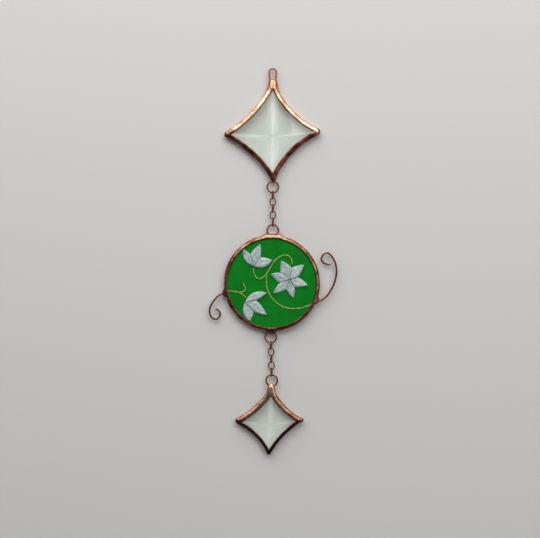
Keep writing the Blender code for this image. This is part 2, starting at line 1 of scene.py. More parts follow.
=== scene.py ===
# %% [markdown]
# # A hanging suncatcher in copper foil and solder work
# The real object is glass whose edges are wrapped in copper foil, tinned with solder and turned
# copper with a patina. Two clear bevelled stars and a round green panel hang in one line, joined
# by jump rings and short chains. The CAD frame gives every place and size, so this lesson starts
# by loading it, and then dresses it: smooth wires, rounded solder beads, veined petals, and
# materials built from nodes.
# %% Load the frame
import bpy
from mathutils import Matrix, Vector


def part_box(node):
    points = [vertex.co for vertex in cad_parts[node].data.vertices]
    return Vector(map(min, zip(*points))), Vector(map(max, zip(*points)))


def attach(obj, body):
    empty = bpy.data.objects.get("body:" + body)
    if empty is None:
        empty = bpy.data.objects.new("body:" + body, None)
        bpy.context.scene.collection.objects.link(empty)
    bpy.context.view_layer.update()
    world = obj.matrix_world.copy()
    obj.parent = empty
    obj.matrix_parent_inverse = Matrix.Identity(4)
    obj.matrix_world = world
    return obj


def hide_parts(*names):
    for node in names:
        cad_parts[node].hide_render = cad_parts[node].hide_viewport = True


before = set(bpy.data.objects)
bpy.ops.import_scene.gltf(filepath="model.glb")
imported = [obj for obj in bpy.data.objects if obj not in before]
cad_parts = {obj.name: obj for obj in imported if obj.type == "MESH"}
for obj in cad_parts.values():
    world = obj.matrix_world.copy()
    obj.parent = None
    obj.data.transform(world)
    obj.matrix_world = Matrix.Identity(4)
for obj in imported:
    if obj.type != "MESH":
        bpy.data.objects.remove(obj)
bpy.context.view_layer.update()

# %% [markdown]
# ## Units, colour and nodes
# Sizes are written in millimetres times MM, because small jewellery-like work is measured that
# way. Colours are written as sRGB hex, as a colour picker shows them, and one function turns them
# to the linear values that shaders use. One small function adds a node, fills its inputs with
# plain values or links, and hands it back.
# %% Units, colour and nodes
import math

import bmesh
import bpy
from mathutils import Vector, noise

MM = 0.001


def linear(hex_colour):
    """An sRGB hex value as linear red, green, blue and alpha."""
    parts = [int(hex_colour[i:i + 2], 16) / 255 for i in (1, 3, 5)]
    return [p / 12.92 if p <= 0.04045 else ((p + 0.055) / 1.055) ** 2.4 for p in parts] + [1.0]


def add_node(tree, kind, inputs=None, stops=(), **settings):
    """A new node; each input is a value, another node's output, or a node for its first output.

    A colour ramp takes its stops as (position, hex) pairs.
    """
    node = tree.nodes.new(kind)
    for name, value in settings.items():
        setattr(node, name, value)
    for i, (position, colour) in enumerate(stops):
        elements = node.color_ramp.elements
        element = elements[i] if i < len(elements) else elements.new(position)
        element.position = position
        element.color = linear(colour)
    for name, value in (inputs or {}).items():
        if isinstance(value, bpy.types.Node):
            value = value.outputs[0]
        if isinstance(value, bpy.types.NodeSocket):
            tree.links.new(value, node.inputs[name])
        else:
            node.inputs[name].default_value = value
    return node


def add_object(name, data):
    """A new object in the scene, at the origin."""
    made = bpy.data.objects.new(name, data)
    bpy.context.scene.collection.objects.link(made)
    return made


def surface(name, shader, *values):
    """A material with the surface that a shader function builds in its tree."""
    material = bpy.data.materials.new(name)
    material.use_nodes = True
    tree = material.node_tree
    tree.nodes.clear()
    add_node(tree, "ShaderNodeOutputMaterial", {"Surface": shader(tree, *values)})
    return material


def clear_where(tree, shader, where, colour="#FFFFFF"):
    """The shader, but a tinted transparent one where the factor is 1."""
    clear = add_node(tree, "ShaderNodeBsdfTransparent", {"Color": linear(colour)})
    return add_node(tree, "ShaderNodeMixShader", {"Fac": where, 1: shader, 2: clear})


print("helpers ready")

# %% [markdown]
# ## Camera
# The photograph looks straight at the work from in front. A moderately long lens keeps the
# perspective weak, as in the photograph. The frame of 540 by 538 pixels shows 324 mm at the
# work, which is 0.6 mm to a pixel.
# %% Camera
SENSOR = 36.0
LENS = 70.0
FIELD = 324.0 * MM
AIM = Vector((-1.7 * MM, 0, -119.6 * MM))
CAMERA_DISTANCE = FIELD * LENS / SENSOR
camera_data = bpy.data.cameras.new("camera")
camera_data.sensor_width = SENSOR
camera_data.lens = LENS
camera = add_object("camera", camera_data)
camera.location = AIM + Vector((0, -CAMERA_DISTANCE, 0))
camera.rotation_euler = (math.radians(90), 0, 0)
bpy.context.scene.camera = camera
bpy.context.scene.view_settings.view_transform = "Standard"
print("camera", round(CAMERA_DISTANCE, 3), "m in front")

# %% [markdown]
# ## Backdrop
# A hung piece throws a soft shadow on what is just behind it, and clear glass shows what is
# behind it, so the studio has a plain pale wall close behind the work, and a floor well below.
# Both are one-sided: seen from behind they vanish, so that the back of the work can be looked
# at. They also let lamp rays through, so a lamp behind the wall can light that back. The floor
# is kept out of reflections, as a photographer would keep it dark with a black cloth.
# %% Backdrop
WALL_GAP = 2.4 * MM
FLOOR_Z = -0.90
WALL_REACH = 1.5
FLOOR_REACH = 0.7


def one_sided_paint(tree, colour):
    paint = add_node(tree, "ShaderNodeBsdfDiffuse", {"Color": linear(colour)})
    side = add_node(tree, "ShaderNodeNewGeometry").outputs["Backfacing"]
    lamp_ray = add_node(tree, "ShaderNodeLightPath").outputs["Is Shadow Ray"]
    hidden = add_node(tree, "ShaderNodeMath", {0: side, 1: lamp_ray}, operation="MAXIMUM")
    return clear_where(tree, paint, hidden)


def studio_plane(name, corners, material):
    mesh = bpy.data.meshes.new(name)
    mesh.from_pydata(corners, [], [(0, 1, 2, 3)])
    mesh.materials.append(material)
    plane = add_object(name, mesh)
    return plane


PALE_PAINT = surface("pale wall paint", one_sided_paint, "#DAD9D6")
wall = studio_plane("wall", [(-WALL_REACH, WALL_GAP, FLOOR_Z), (WALL_REACH, WALL_GAP, FLOOR_Z),
                             (WALL_REACH, WALL_GAP, WALL_REACH),
                             (-WALL_REACH, WALL_GAP, WALL_REACH)], PALE_PAINT)
floor = studio_plane("floor", [(x * FLOOR_REACH, y * FLOOR_REACH, FLOOR_Z)
                               for x, y in ((-1, -1), (1, -1), (1, 1), (-1, 1))], PALE_PAINT)
floor.visible_glossy = False
print(wall.name, "at", WALL_GAP, "m,", floor.name, "at", FLOOR_Z, "m")

# %% [markdown]
# ## Light
# The photograph is lit by a wide window high up: upper sides of the solder are bright, lower
# sides nearly black, and shadows fall a few millimetres below each edge. A wide area lamp above
# and in front does the same. A weak lamp at the side lifts the shadows behind the glass, from
# where the flat glass doesn't mirror it, and one behind serves only the views of the back. The
# sky is dim for reflections, which gives the metal its contrast, and pale where it is looked at,
# straight or through glass, but not for light that has already bounced off the wall. The glass
# lets lamp rays straight through, so rays that bend in it count no lamp, or the wall behind would
# be lit twice.
# %% Light
SKY_DIM = 0.16


def area_lamp(name, place, target, size, power):
    """A rectangle of light that looks from a place at a target, hidden from bent rays."""
    data = bpy.data.lights.new(name, "AREA")
    data.shape = "RECTANGLE"
    data.size, data.size_y = size
    data.energy = power
    lamp = add_object(name, data)
    lamp.location = place
    lamp.rotation_euler = (Vector(target) - Vector(place)).to_track_quat("-Z", "Y").to_euler()
    lamp.visible_transmission = False


area_lamp("window", (-0.09, -0.60, 0.62), (0, 0, -0.10), (1.70, 0.90), 13.4)
area_lamp("side fill", (0.80, -1.00, 0.10), (0, 0, -0.12), (0.60, 0.80), 2.6)
area_lamp("rear lamp", (0.15, 0.9, 0.35), (0, 0, -0.11), (0.9, 0.6), 9.0)

world = bpy.data.worlds.new("studio sky")
bpy.context.scene.world = world
world.use_nodes = True
sky = world.node_tree
sky.nodes.clear()
rays = add_node(sky, "ShaderNodeLightPath")
straight = add_node(sky, "ShaderNodeMath", {0: rays.outputs["Is Camera Ray"],
                                            1: rays.outputs["Is Transmission Ray"]},
                    operation="MAXIMUM")
unscattered = add_node(sky, "ShaderNodeMath", {0: rays.outputs["Diffuse Depth"], 1: 0.5},
                       operation="LESS_THAN")
looked_at = add_node(sky, "ShaderNodeMath", {0: straight, 1: unscattered}, operation="MULTIPLY")
dim = add_node(sky, "ShaderNodeBackground", {"Color": linear("#BDBDC4"), "Strength": SKY_DIM})
pale = add_node(sky, "ShaderNodeBackground", {"Color": linear("#C9C7C1"), "Strength": 1.0})
sky_mix = add_node(sky, "ShaderNodeMixShader", {"Fac": looked_at, 1: dim, 2: pale})
add_node(sky, "ShaderNodeOutputWorld", {"Surface": sky_mix})

# %% [markdown]
# ## Copper-plated solder
# A tinned bead is soft metal that ran and set by hand, then took a copper patina: it is a true
# metal (metallic 1, roughness about 0.3), gently lumpy every 2 to 3 mm. Where the patina is thick
# it is maroon brown, and in patches where it was rubbed or never took, and at the joints, it is
# bright peach copper. The upper sides of the stars are painted brighter as well, a painted
# highlight of the window above, and their lower sides darker, painted shade; the lower arms of the
# small star are painted nearly black, a painted reflection of the dark room. A painted image could
# say where, but a noise in patches fits any size. How bright each place is comes from an attribute
# on the mesh, from -1 for the painted black through 0 for brown to 1 for bright copper.
# %% Copper-plated solder
SOLDER_LUMP = 2.6 * MM
SOLDER_LUMP_HEIGHT = 0.20 * MM
WIRE_GRAIN = 0.9 * MM
WIRE_GRAIN_HEIGHT = 0.05 * MM
DARK_PATINA = [(0.32, "#45241E"), (0.50, "#7E4638"), (0.68, "#AB6A50")]
# Painted dark reflection: near black tones for the dark room mirrored in the small star's lower
# arms.
PAINTED_DARK_REFLECTION = [(0.32, "#1E120F"), (0.50, "#3A2520"), (0.68, "#5E4036")]
# Bright peach copper: patches free of patina, and the painted highlight on the upper sides.
LIT_AND_BARE_COPPER = [(0.32, "#B97550"), (0.50, "#EDBE9A"), (0.68, "#FBE0C6")]
BLOTCH_DETAIL = 6.0
BLOTCH_BREAKUP = 0.72
BARE_SPREAD = 0.18
BROWN_WIRE = [(0.32, "#532C24"), (0.50, "#875140"), (0.68, "#B67C62")]
BRIGHT_WIRE = [(0.32, "#7E4A38"), (0.50, "#B97E62"), (0.68, "#E0AC8A")]


def metal(tree, colour, blotches, roughness, lump, lump_height):
    """A metal with the given colour, uneven gloss and lumps of the given size in metres."""
    place = add_node(tree, "ShaderNodeTexCoord").outputs["Object"]
    lumps = add_node(tree, "ShaderNodeTexNoise", {
        "Vector": place, "Scale": 1 / lump, "Detail": 3.0, "Roughness": 0.55})
    bump = add_node(tree, "ShaderNodeBump", {"Height": lumps, "Strength": 1.0,
                                             "Distance": lump_height})
    rough = add_node(tree, "ShaderNodeMapRange", {0: blotches, 1: 0.3, 2: 0.7,
                                                  3: roughness[0], 4: roughness[1]})
    return add_node(tree, "ShaderNodeBsdfPrincipled", {
        "Base Color": colour, "Metallic": 1.0, "Roughness": rough, "Normal": bump})


def solder(tree):
    place = add_node(tree, "ShaderNodeTexCoord").outputs["Object"]
    blotches = add_node(tree, "ShaderNodeTexNoise", {
        "Vector": place, "Scale": 1 / (2.0 * SOLDER_LUMP), "Detail": BLOTCH_DETAIL,
        "Roughness": BLOTCH_BREAKUP})
    # The brown patina, bright copper that also gives the painted highlight, and near black for the
    # painted dark reflection.
    dark, bright, black = (
        add_node(tree, "ShaderNodeValToRGB", {"Fac": blotches}, stops)
        for stops in (DARK_PATINA, LIT_AND_BARE_COPPER, PAINTED_DARK_REFLECTION))
    light_and_bare = add_node(tree, "ShaderNodeAttribute", attribute_name="light_and_bare").outputs["Fac"]
    broken = add_node(tree, "ShaderNodeMapRange", {0: blotches, 1: 0.3, 2: 0.7,
                                                   3: -BARE_SPREAD, 4: BARE_SPREAD})
    uneven = add_node(tree, "ShaderNodeMath", {0: light_and_bare, 1: broken}, operation="ADD",
                      use_clamp=True)
    copper = add_node(tree, "ShaderNodeMix", {0: uneven, 6: dark, 7: bright}, data_type="RGBA")
    # Below 0 the attribute turns the colour to the near black painted reflection.
    painted_darkness = add_node(tree, "ShaderNodeMath", {0: light_and_bare, 1: -1.0}, operation="MULTIPLY",
                     use_clamp=True)
    colour = add_node(tree, "ShaderNodeMix", {0: painted_darkness, 6: copper.outputs[2], 7: black},
                      data_type="RGBA")
    return metal(tree, colour.outputs[2], blotches, (0.40, 0.24), SOLDER_LUMP,
                 SOLDER_LUMP_HEIGHT)


def wire(tree, tones):
    place = add_node(tree, "ShaderNodeTexCoord").outputs["Object"]
    blotches = add_node(tree, "ShaderNodeTexNoise", {
        "Vector": place, "Scale": 1 / (2.2 * WIRE_GRAIN), "Detail": BLOTCH_DETAIL,
        "Roughness": BLOTCH_BREAKUP})
    colour = add_node(tree, "ShaderNodeValToRGB", {"Fac": blotches}, tones)
    return metal(tree, colour, blotches, (0.38, 0.26), WIRE_GRAIN, WIRE_GRAIN_HEIGHT)


SOLDER = surface("copper-plated solder, tinned by hand", solder)
WIRE_COPPER = surface("copper wire with brown patina", wire, BROWN_WIRE)
# The loop takes lighter copper tones than the other wires.
LOOP_COPPER = surface("lighter copper wire", wire, BRIGHT_WIRE)
print("metals:", [m.name for m in (SOLDER, WIRE_COPPER, LOOP_COPPER)])

# %% [markdown]
# ## Clear bevelled glass
# Plate glass ground to four facets: IOR 1.52, almost no roughness, a very faint green in its
# depth. A lamp ray would be stopped by a refracting shader, and the wall behind the glass would
# go dark, so for lamp rays alone the glass is swapped for a lightly tinted transparent one. The
# ridges where facets meet bend light into whitish lines; narrow strips along them take a paler
# glass that scatters a little, a painted highlight in place of that bent light.
# %% Clear bevelled glass
def clear_glass(tree, tint, lamp_tint, roughness, clearness):
    glass = add_node(tree, "ShaderNodeBsdfPrincipled", {
        "Base Color": linear(tint), "Roughness": roughness, "IOR": 1.52,
        "Transmission Weight": clearness})
    lamp_ray = add_node(tree, "ShaderNodeLightPath").outputs["Is Shadow Ray"]
    return clear_where(tree, glass, lamp_ray, lamp_tint)


CLEAR_GLASS = surface("clear bevelled plate glass", clear_glass, "#F1F7F3", "#F8FAF8", 0.01, 1.0)
# Ridge glasses, paler and scattering a little: a painted highlight for light the ridges bend.
RIDGE_EDGE = surface("ridge edge of bevelled glass", clear_glass, "#F3F8F5", "#F3F6F4", 0.08, 0.86)
RIDGE_CREST = surface("ridge crest of bevelled glass", clear_glass, "#F8FCF9", "#F5F8F6", 0.20,
                      0.76)
print("glasses:", [m.name for m in (CLEAR_GLASS, RIDGE_EDGE, RIDGE_CREST)])

# %% [markdown]
# ## Green glass, petals and vines
# The round panel is deep green glass that shows no light through it: a smooth dielectric of IOR
# 1.52 with a slow drift in its green. The petals are paler fired glass with a satin face, fine
# pencil-like veins that run from foot to tip, and milky edges. An image could hold the veins, but
# waves across the petal's own UV map, u from foot to tip and v from side to side, follow its
# shape and stay sharp. The vines are a raised line of yellow-green enamel.
# %% Green glass, petals and vines
GREEN_DRIFT = 9.0 * MM
GREEN_TONES = [(0.35, "#07791A"), (0.65, "#0C8320")]
GREEN_WAVE = 3.0 * MM
GREEN_WAVE_HEIGHT = 0.02 * MM
VINE_DRIFT = 1.6 * MM
VINE_TONES = [(0.35, "#7B9638"), (0.65, "#A6B860")]
PETAL_GRAIN = 1.5 * MM
VEINS_ACROSS = 5.0
PETAL_TONES = [(0.35, "#9CAFB0"), (0.50, "#B6C5C4"), (0.66, "#D0DAD8")]


def green_glass(tree):
    place = add_node(tree, "ShaderNodeTexCoord").outputs["Object"]
    drift = add_node(tree, "ShaderNodeTexNoise", {
        "Vector": place, "Scale": 1 / GREEN_DRIFT, "Detail": 3.0})
    wave = add_node(tree, "ShaderNodeTexNoise", {
        "Vector": place, "Scale": 1 / GREEN_WAVE, "Detail": 2.0})
    colour = add_node(tree, "ShaderNodeValToRGB", {"Fac": drift}, GREEN_TONES)
    bump = add_node(tree, "ShaderNodeBump", {
        "Height": wave, "Strength": 1.0, "Distance": GREEN_WAVE_HEIGHT})
    return add_node(tree, "ShaderNodeBsdfPrincipled", {
        "Base Color": colour, "Roughness": 0.12, "IOR": 1.52, "Normal": bump})


def petal_glass(tree):
    along = add_node(tree, "ShaderNodeUVMap", uv_map="petal")
    parts = add_node(tree, "ShaderNodeSeparateXYZ", {"Vector": along})
    place = add_node(tree, "ShaderNodeTexCoord").outputs["Object"]
    cloud = add_node(tree, "ShaderNodeTexNoise", {
        "Vector": place, "Scale": 1 / PETAL_GRAIN, "Detail": 3.0})
    wobble = add_node(tree, "ShaderNodeMath", {0: cloud, 1: 0.10}, operation="MULTIPLY")
    shifted = add_node(tree, "ShaderNodeMath", {0: parts.outputs["Y"], 1: wobble}, operation="ADD")
    turns = add_node(tree, "ShaderNodeMath", {0: shifted, 1: 2 * math.pi * VEINS_ACROSS},
                     operation="MULTIPLY")
    wave = add_node(tree, "ShaderNodeMath", {0: turns}, operation="COSINE")
    vein = add_node(tree, "ShaderNodeMapRange", {0: wave, 1: 0.55, 2: 1.0, 3: 0.0, 4: 1.0},
                    clamp=True)
    blotch = add_node(tree, "ShaderNodeValToRGB", {"Fac": cloud}, PETAL_TONES)
    veined = add_node(tree, "ShaderNodeMix", {0: vein, 6: blotch, 7: linear("#90A3A6")},
                      data_type="RGBA")
    edge = add_node(tree, "ShaderNodeMath", {0: parts.outputs["Y"], 1: 0.5}, operation="SUBTRACT")
    far = add_node(tree, "ShaderNodeMath", {0: edge}, operation="ABSOLUTE")
    milky = add_node(tree, "ShaderNodeMapRange", {0: far, 1: 0.38, 2: 0.50, 3: 0.0, 4: 0.7},
                     clamp=True)
    colour = add_node(tree, "ShaderNodeMix", {0: milky, 6: veined.outputs[2],
                                              7: linear("#D6DFDF")}, data_type="RGBA")
    bump = add_node(tree, "ShaderNodeBump", {"Height": vein, "Strength": 1.0,
                                             "Distance": 0.05 * MM}, invert=True)
    return add_node(tree, "ShaderNodeBsdfPrincipled", {
        "Base Color": colour.outputs[2], "Roughness": 0.45, "IOR": 1.5, "Normal": bump})


def vine_enamel(tree):
    place = add_node(tree, "ShaderNodeTexCoord").outputs["Object"]
    drift = add_node(tree, "ShaderNodeTexNoise", {
        "Vector": place, "Scale": 1 / VINE_DRIFT, "Detail": 2.0})
    colour = add_node(tree, "ShaderNodeValToRGB", {"Fac": drift}, VINE_TONES)
    return add_node(tree, "ShaderNodeBsdfPrincipled", {
        "Base Color": colour, "Roughness": 0.35, "IOR": 1.5})


GREEN_GLASS = surface("deep green glass", green_glass)
PALE_PETAL = surface("pale fired glass with veins", petal_glass)
VINE_ENAMEL = surface("yellow-green enamel line", vine_enamel)
print("colours:", [m.name for m in (GREEN_GLASS, PALE_PETAL, VINE_ENAMEL)])

# %% [markdown]
# ## Places read from the frame
# The places could be typed in again, but then the scene and the solids might drift apart, so they
# are read from the CAD nodes. A link's centre is the centre of its box, the round panel's centre
# and clear radius come from the green glass, and each star is laid out about the middle of its
# glass.
# %% Places read from the frame
def box_centre(node):
    low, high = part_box(node)
    return (Vector(low) + Vector(high)) / 2


def box_size(node):
    low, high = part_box(node)
    return Vector(high) - Vector(low)


DISC_CENTRE = box_centre("green_disc_glass")
GLASS_RADIUS = box_size("green_disc_glass").x / 2
DISC_LAP = 1.00 * MM
CLEAR_RADIUS = GLASS_RADIUS - DISC_LAP
DISC_FRONT = -box_size("green_disc_glass").y / 2
print("disc centre", [round(c / MM, 2) for c in DISC_CENTRE], "clear radius",
      round(CLEAR_RADIUS / MM, 2), "mm")

# %% [markdown]
# ## Finishing a piece
# Every piece ends the same way: it gets its mesh and material, rides on the one body, and hides
# the CAD nodes that it stands for. Meshes that are built face by face share two more steps: rows
# of points are joined by faces, and the result has its faces turned outwards and is shaded smooth,
# with a crease wherever it bends by more than an angle.
# %% Finishing a piece
MERGE_REACH = 0.002 * MM


def loft(bm, rows, wrap=True):
    """Faces between neighbouring rows of points; a row of one point makes a fan."""
    faces = []
    for here, there in zip(rows, rows[1:]):
        count = max(len(here), len(there))
        for j in range(count if wrap else count - 1):
            k = (j + 1) % count
            near = here if len(here) == 1 else [here[j], here[k]]
            far = there if len(there) == 1 else [there[k], there[j]]
            faces.append(bm.faces.new(near + far))
    return faces


def mesh_from(bm, name, crease=None):
    """The finished mesh, its faces outwards, creased past an angle in degrees."""
    bmesh.ops.recalc_face_normals(bm, faces=bm.faces)
    mesh = bpy.data.meshes.new(name)
    bm.to_mesh(mesh)
    bm.free()
    mesh.shade_smooth()
    if crease:
        mesh.set_sharp_from_angle(angle=math.radians(crease))
    return mesh


def finish_piece(name, mesh, material, nodes):
    if not mesh.materials or mesh.materials[0] != material:
        mesh.materials.clear()
        mesh.materials.append(material)
    piece = add_object(name, mesh)
    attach(piece, "root")
    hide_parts(*nodes)
    print(name, len(mesh.polygons), "faces")


def dress_node(node, material):
    """A CAD node whose shape is right keeps it and takes a better material."""
    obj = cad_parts[node]
    for material_slot in obj.material_slots:
        material_slot.link = "OBJECT"
        material_slot.material = material
    print(node, "takes", material.name)


# %% [markdown]
# ## Wires as curves with Geometry Nodes
# Rings, links, curls and the loop are all round wire bent along a path. A curve's own bevel would
# give an even tube, so one Geometry Nodes tree makes them: it resamples the path, shifts its
# points a little with noise, because hand-bent wire is never quite true, and sweeps a circle along
# it. The radius, the sides and the waviness are named inputs. The result is turned into a plain
# mesh.
# %% Wires as curves with Geometry Nodes
WIRE_WAVE = 3.0 * MM


def wire_tree():
    tree = bpy.data.node_groups.new("wire along a path", "GeometryNodeTree")
    face = tree.interface
    face.new_socket("Path", in_out="INPUT", socket_type="NodeSocketGeometry")
    for title, kind, value in (("Wire radius", "NodeSocketFloat", 0.5 * MM),
                               ("Step", "NodeSocketFloat", 0.3 * MM),
                               ("Sides", "NodeSocketInt", 14),
                               ("Waviness", "NodeSocketFloat", 0.03 * MM)):
        face.new_socket(title, in_out="INPUT", socket_type=kind).default_value = value
    face.new_socket("Metal", in_out="INPUT", socket_type="NodeSocketMaterial")
    face.new_socket("Wire", in_out="OUTPUT", socket_type="NodeSocketGeometry")
    given = add_node(tree, "NodeGroupInput").outputs
    even = add_node(tree, "GeometryNodeResampleCurve", {
        "Curve": given["Path"], "Length": given["Step"]}, mode="LENGTH")
    grain = add_node(tree, "ShaderNodeTexNoise", {"Scale": 1 / WIRE_WAVE, "Detail": 1.0})
    centred = add_node(tree, "ShaderNodeVectorMath", {0: grain.outputs["Color"],
                                                      1: (0.5, 0.5, 0.5)}, operation="SUBTRACT")
    shift = add_node(tree, "ShaderNodeVectorMath", {0: centred, "Scale": given["Waviness"]},
                     operation="SCALE")
    bent = add_node(tree, "GeometryNodeSetPosition", {"Geometry": even, "Offset": shift})
    circle = add_node(tree, "GeometryNodeCurvePrimitiveCircle", {
        "Resolution": given["Sides"], "Radius": given["Wire radius"]})
    swept = add_node(tree, "GeometryNodeCurveToMesh", {
        "Curve": bent, "Profile Curve": circle, "Fill Caps": True})
    smooth = add_node(tree, "GeometryNodeSetShadeSmooth", {"Geometry": swept})
    real = add_node(tree, "GeometryNodeRealizeInstances", {"Geometry": smooth})
    painted = add_node(tree, "GeometryNodeSetMaterial", {"Geometry": real,
                                                         "Material": given["Metal"]})
    add_node(tree, "NodeGroupOutput", {"Wire": painted})
    return tree


WIRE_TREE = wire_tree()


def wire_mesh(name, points, closed, radius, material, waviness=0.03 * MM, sides=14):
    """A wire along the given points, as a plain mesh with its faces outwards."""
    curve = bpy.data.curves.new(name + "_path", "CURVE")
    curve.dimensions = "3D"
    spline = curve.splines.new("POLY")
    spline.points.add(len(points) - 1)
    for point, place in zip(spline.points, points):
        point.co = (*place, 1)
    spline.use_cyclic_u = closed
    holder = add_object(name + "_path", curve)
    modifier = holder.modifiers.new("wire", "NODES")
    modifier.node_group = WIRE_TREE
    values = {"Wire radius": radius, "Sides": sides, "Waviness": waviness, "Metal": material}
    for item in WIRE_TREE.interface.items_tree:
        if item.in_out == "INPUT" and item.name in values:
            modifier[item.identifier] = values[item.name]
    depsgraph = bpy.context.evaluated_depsgraph_get()
    mesh = bpy.data.meshes.new_from_object(holder.evaluated_get(depsgraph))
    bpy.data.objects.remove(holder, do_unlink=True)
    mesh.name = name
    outward(mesh)
    return mesh


def outward(mesh):
    """Merges doubles and turns the faces outwards."""
    bm = bmesh.new()
    bm.from_mesh(mesh)
    bmesh.ops.remove_doubles(bm, verts=bm.verts, dist=MERGE_REACH)
    bmesh.ops.recalc_face_normals(bm, faces=bm.faces)
    bm.to_mesh(mesh)
    bm.free()


print("wire tree has", len(WIRE_TREE.nodes), "nodes")

# %% [markdown]
# ## Jump rings and chain links
# The rings are 7.7 mm across and bent from 1.0 mm wire. The links are ovals of 0.72 mm wire that
# hang alternately edge on and face on, each turned about the vertical and leaned with its chain.
# A torus would look too perfect for either, so the wire tree makes both.
# %% Jump rings and chain links
RING_WIDTH = 7.70 * MM
RING_WIRE = 1.00 * MM
LINK_WIRE = 0.72 * MM
LINK_WIDTH = 4.10 * MM
LINK_LENGTH = 5.60 * MM
LINK_COUNT = 5
LINK_STEPS = 48
RING_STEPS = 96
EDGE_ON_TURN = 78
FACE_ON_TURN = -8
CHAIN_LEANS = {"upper_chain_link": 0.0, "lower_chain_link": 1.3}
RINGS = ("top_star_ring", "disc_top_ring", "disc_bottom_ring", "small_star_ring")


def turned(length, degrees):
    """A vector in the picture plane, x and z, of this length at this angle from +X."""
    angle = math.radians(degrees)
    return Vector((length * math.cos(angle), length * math.sin(angle)))


def in_space(flat, depth=0.0):
    return Vector((flat.x, depth, flat.y))


def link_path(centre, turn, lean):
    """An oval about a centre, turned about the vertical and leaned in the picture plane."""
    across, along = (LINK_WIDTH - LINK_WIRE) / 2, (LINK_LENGTH - LINK_WIRE) / 2
    path = []
    for i in range(LINK_STEPS):
        point = turned(1, 360 * i / LINK_STEPS)
        x, y = point.x * across * math.cos(turn), point.x * across * math.sin(turn)
        z = point.y * along
        path.append(centre + Vector((x * math.cos(lean) - z * math.sin(lean), y,
                                     x * math.sin(lean) + z * math.cos(lean))))
    return path


def ring_node_centre(node):
    """The centre of a ring from the top of its box, as its foot may be hidden in solder."""
    low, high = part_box(node)
    return Vector(((low[0] + high[0]) / 2, 0, high[2] - RING_WIDTH / 2))


for node in RINGS:
    centre = ring_node_centre(node)
    path = [centre + in_space(turned((RING_WIDTH - RING_WIRE) / 2, 360 * i / RING_STEPS))
            for i in range(RING_STEPS)]
    mesh = wire_mesh(node + "_wire", path, True, RING_WIRE / 2, WIRE_COPPER, 0.06 * MM)
    finish_piece(node + "_wire", mesh, WIRE_COPPER, [node])

for chain, lean in CHAIN_LEANS.items():
    for number in range(1, LINK_COUNT + 1):
        node = f"{chain}_{number}"
        turn = math.radians(EDGE_ON_TURN if number % 2 else FACE_ON_TURN)
        path = link_path(box_centre(node), turn, math.radians(lean))
        mesh = wire_mesh(node + "_wire", path, True, LINK_WIRE / 2, WIRE_COPPER, 0.05 * MM, 12)
        finish_piece(node + "_wire", mesh, WIRE_COPPER, [node])

# %% [markdown]
# ## Outlines of the stars
# A four-point star has four sides that bow inwards. They could be drawn as free curves, but arcs
# give every parallel outline exactly. Each side is an arc through two tips, and an outline further
# out is the same arcs with smaller radii, meeting in sharper corners. The sizes are those of the
# work itself: the clear opening, how far solder laps over the glass, and how wide the bead is
# outside it. Where solder closes a corner, a rounded cap replaces the sharp point. Sides run
# upper right, lower right, lower left, upper left.
# %% Outlines of the stars
GLASS_BLUNT = 0.70 * MM
CLEARANCE = 0.10 * MM
SOLDER_CROWN = 0.80 * MM
STARS = {
    "top_star": {
        "size": (49.7, 49.5), "shoulder": (-0.35, -0.90), "lean": 0.0, "cant": 2.0,
        "sags": (0.082, 0.077, 0.060, 0.060), "lap": 1.50, "beads": (1.50, 1.50, 1.50, 1.50),
        "cross_drop": 3.75, "edge_glass": 2.20, "rise": 2.60,
        "caps": ((6.90, 3.60, 0.6), (4.00, 3.80, 1.0), (6.00, 4.40, 1.3), (4.00, 3.80, 1.0)),
    },
    "small_star": {
        "size": (32.4, 32.0), "shoulder": (-0.70, 0.70), "lean": -2.3, "cant": 1.2,
        "sags": (0.060, 0.050, 0.075, 0.055), "lap": 1.00, "beads": (2.20, 1.20, 1.20, 2.40),
        "cross_drop": 1.50, "edge_glass": 2.20, "rise": 2.20,
        "caps": ((7.60, 5.30, 1.2), (4.80, 2.60, 1.0), (3.30, 2.60, 1.0), (3.80, 2.60, 1.0)),
    },
}


def even_shares(steps):
    """Shares of a line from its start to just before its end."""
    return [i / steps for i in range(steps)]


def resample(points, shares):
    """The points at these shares of a line's length."""
    reach = [0.0]
    for a, b in zip(points, points[1:]):
        reach.append(reach[-1] + (b - a).length)
    picked, i = [], 0
    for share in shares:
        at = share * reach[-1]
        while i < len(points) - 2 and reach[i + 1] < at:
            i += 1
        span = reach[i + 1] - reach[i]
        picked.append(points[i].lerp(points[i + 1], (at - reach[i]) / span if span else 0.0))
    return picked


